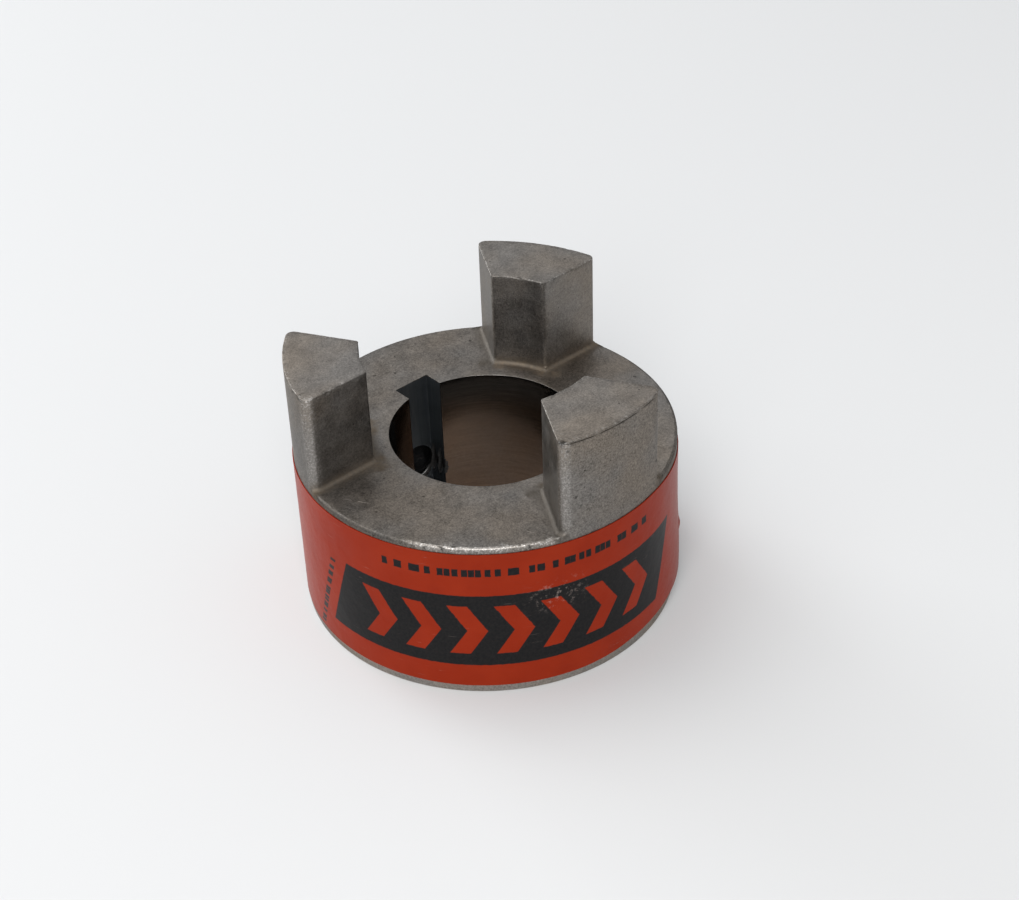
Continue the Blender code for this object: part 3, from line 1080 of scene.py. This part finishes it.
def film():
    """Printed label: orange ground, dark panel with a row of chevrons, and dashes for small print."""
    shader = Shader("printed_film")
    uv = shader.node("ShaderNodeUVMap", {"uv_map": "print"}).outputs[0]
    along, up, _ = shader.node("ShaderNodeSeparateXYZ", None, Vector=uv).outputs
    place = shader.place()

    ink_edge = shader.math("MULTIPLY", shader.math("SUBTRACT", shader.noise(uv, 2.0, 2.0), 0.5), 0.15)
    along_ink = shader.math("ADD", along, ink_edge)
    up_ink = shader.math("ADD", up, ink_edge)
    lean = shader.math("MULTIPLY", shader.math("SUBTRACT", up_ink, LEAN_FOOT), PANEL_LEAN)
    from_middle = shader.math("SUBTRACT", shader.math("SUBTRACT", along_ink, PANEL_MIDDLE), lean)
    panel = shader.math("MULTIPLY", inside(shader, from_middle, -PANEL_HALF, PANEL_HALF),
                        inside(shader, up_ink, PANEL_LOW, PANEL_HIGH))

    # Chevrons: a sawtooth of the distance from the panel's middle height
    fold = shader.math("ABSOLUTE", shader.math("SUBTRACT", up_ink, (PANEL_LOW + PANEL_HIGH) / 2))
    wave = shader.math("ADD", shader.math("SUBTRACT", along_ink, PANEL_MIDDLE),
                       shader.math("MULTIPLY", fold, CHEVRON_SLOPE))
    wave = shader.math("ADD", shader.math("SUBTRACT", wave, CHEVRON_SHIFT),
                       CHEVRONS * CHEVRON_STEP / 2)
    tooth = shader.math("FRACT", shader.math("DIVIDE", wave, CHEVRON_STEP))
    chevron = inside(shader, tooth, CHEVRON_FROM, CHEVRON_TO, 0.008)
    rows = inside(shader, up_ink, CHEVRON_LOW, CHEVRON_HIGH)
    ends = inside(shader, wave, 0, CHEVRONS * CHEVRON_STEP)
    chevron = shader.math("MULTIPLY", shader.math("MULTIPLY", chevron, rows), ends)

    # Small print: uneven dashes in one line, and a stack of them left of the panel
    line = dashes(shader, along_ink, 1.0)
    line = shader.math("MULTIPLY", line, inside(shader, up_ink, LINE_LOW, LINE_HIGH))
    line = shader.math("MULTIPLY", line, inside(shader, along_ink, LINE_FROM, LINE_TO))
    stack = dashes(shader, up_ink, 1.5)
    stack = shader.math("MULTIPLY", stack, inside(shader, up_ink, STACK_LOW, STACK_HIGH))
    stack = shader.math("MULTIPLY", stack, inside(shader, from_middle, STACK_FROM, STACK_TO))
    dash = shader.math("MAXIMUM", line, stack)

    ground_noise = shader.noise(place, 0.25, 3.0)
    fleck = shader.noise(place, 3.5, 2.0)
    orange = shader.mix(shader.ramp(ground_noise, 0.3, 0.7), ORANGE_DEEP, ORANGE_LIGHT)
    ink = shader.mix(shader.ramp(fleck, 0.35, 0.65), INK_DARK, INK_LIGHT)
    dark = shader.math("SUBTRACT", panel, chevron, clamp=True)
    dark = shader.math("MAXIMUM", dark, dash)
    color = shader.mix(dark, orange, ink)

    # Scuffs: long leaning scratches, and one rubbed patch on the panel
    leaning = shader.node("ShaderNodeMapping", None, Vector=uv, Rotation=(0, 0, 0.5),
                          Scale=(0.16, 2.2, 1))
    scratch = shader.ramp(shader.noise(leaning.outputs[0], 1.3, 4.0, 0.7), 0.64, 0.74)
    scratched = shader.ramp(shader.noise(uv, 0.12, 2.0), 0.5, 0.62)
    patch = shader.math("MULTIPLY", inside(shader, along, 3.5, 8, 2.0),
                        inside(shader, up, 11.5, 14.5, 1.0))
    rubbed = shader.ramp(shader.noise(uv, 1.3, 4.0, 0.7), 0.54, 0.66)
    scuff = shader.math("MAXIMUM", shader.math("MULTIPLY", scratch, scratched),
                        shader.math("MULTIPLY", patch, rubbed))
    color = shader.mix(shader.math("MULTIPLY", scuff, 0.35), color, SCUFFED)
    rough = shader.math("ADD", shader.ramp(fleck, 0.3, 0.7, 0.3, 0.36),
                        shader.math("MULTIPLY", scuff, 0.2))
    height = shader.math("ADD", shader.noise(place, 0.5, 2.0), shader.math("MULTIPLY", fleck, 0.06))
    normal = shader.bump(height, 0.00005)
    return shader.finish(Base_Color=color, Roughness=rough, Normal=normal, Specular_IOR_Level=0.07)


def paper_floor():
    """Plain pale paper."""
    shader = Shader("pale_floor")
    place = shader.place()
    color = shader.mix(shader.noise(place, 0.004, 2.0), FLOOR_DARK, FLOOR_LIGHT)
    return shader.finish(Base_Color=color, Roughness=0.7, Emission_Color=(1, 1, 1, 1),
                         Emission_Strength=0.06)


# ------------------------------------------------------- camera, lights, floor

def put_camera():
    """Camera at the photo's angle, aimed at CAMERA_TARGET."""
    camera = bpy.data.objects.new("camera", bpy.data.cameras.new("camera"))
    bpy.context.collection.objects.link(camera)
    dip = math.radians(CAMERA_DIP)
    ahead = Vector((*polar(math.cos(dip), CAMERA_HEADING), -math.sin(dip)))
    right = ahead.cross(Vector((0, 0, 1))).normalized()
    above = right.cross(ahead)
    turn = Matrix.Rotation(-math.radians(CAMERA_ROLL), 3, ahead)
    right, above = turn @ right, turn @ above
    matrix = Matrix((right, above, -ahead)).transposed().to_4x4()
    matrix.translation = CAMERA_TARGET - ahead * CAMERA_DISTANCE
    camera.matrix_world = matrix
    camera.data.lens = CAMERA_LENS
    camera.data.sensor_width = 36
    camera.data.clip_start = 0.01
    bpy.context.scene.camera = camera


def put_light(name, azimuth, elevation, size, power, tint=(1, 1, 1)):
    """Square soft light aimed at the object, from that azimuth and elevation."""
    data = bpy.data.lights.new(name, "AREA")
    data.size = size
    data.energy = power
    data.color = tint
    light = bpy.data.objects.new(name, data)
    bpy.context.collection.objects.link(light)
    up = math.radians(elevation)
    away = Vector((*polar(math.cos(up), azimuth), math.sin(up)))
    light.location = away * LIGHT_DISTANCE
    light.rotation_euler = away.to_track_quat("Z", "Y").to_euler()


def put_stage():
    """Floor, sky and lights."""
    shape = bmesh.new()
    bmesh.ops.create_grid(shape, x_segments=8, y_segments=8, size=FLOOR_HALF)
    floor = to_object("floor", shape)
    floor.location.z = HUB_LOW.z
    floor.data.materials.append(paper_floor())

    world = bpy.data.worlds.new("studio")
    world.use_nodes = True
    sky = world.node_tree.nodes["Background"]
    sky.inputs["Color"].default_value = SKY_COLOR
    sky.inputs["Strength"].default_value = SKY_STRENGTH
    bpy.context.scene.world = world
    bpy.context.scene.view_settings.view_transform = "Standard"
    put_light("key", azimuth=118, elevation=60, size=0.7, power=3.5)
    put_light("side", azimuth=95, elevation=12, size=0.4, power=4.2, tint=(0.92, 0.96, 1.0))
    put_light("front", azimuth=-138, elevation=40, size=0.5, power=5.5)


def main():
    hub = main_hub()
    for i, material in enumerate((iron(), machined_iron(), thread_iron())):
        hub.data.materials[i] = material
    hub.data.materials.pop(index=BROKEN)
    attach(hub, "hub")
    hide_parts("hub")

    screw = main_screw()
    screw.data.materials.append(black_oxide())
    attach(screw, "set_screw")
    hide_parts("set_screw")

    label = main_label()
    label.data.materials.append(film())
    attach(label, "hub")
    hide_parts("label")

    put_camera()
    put_stage()


main()
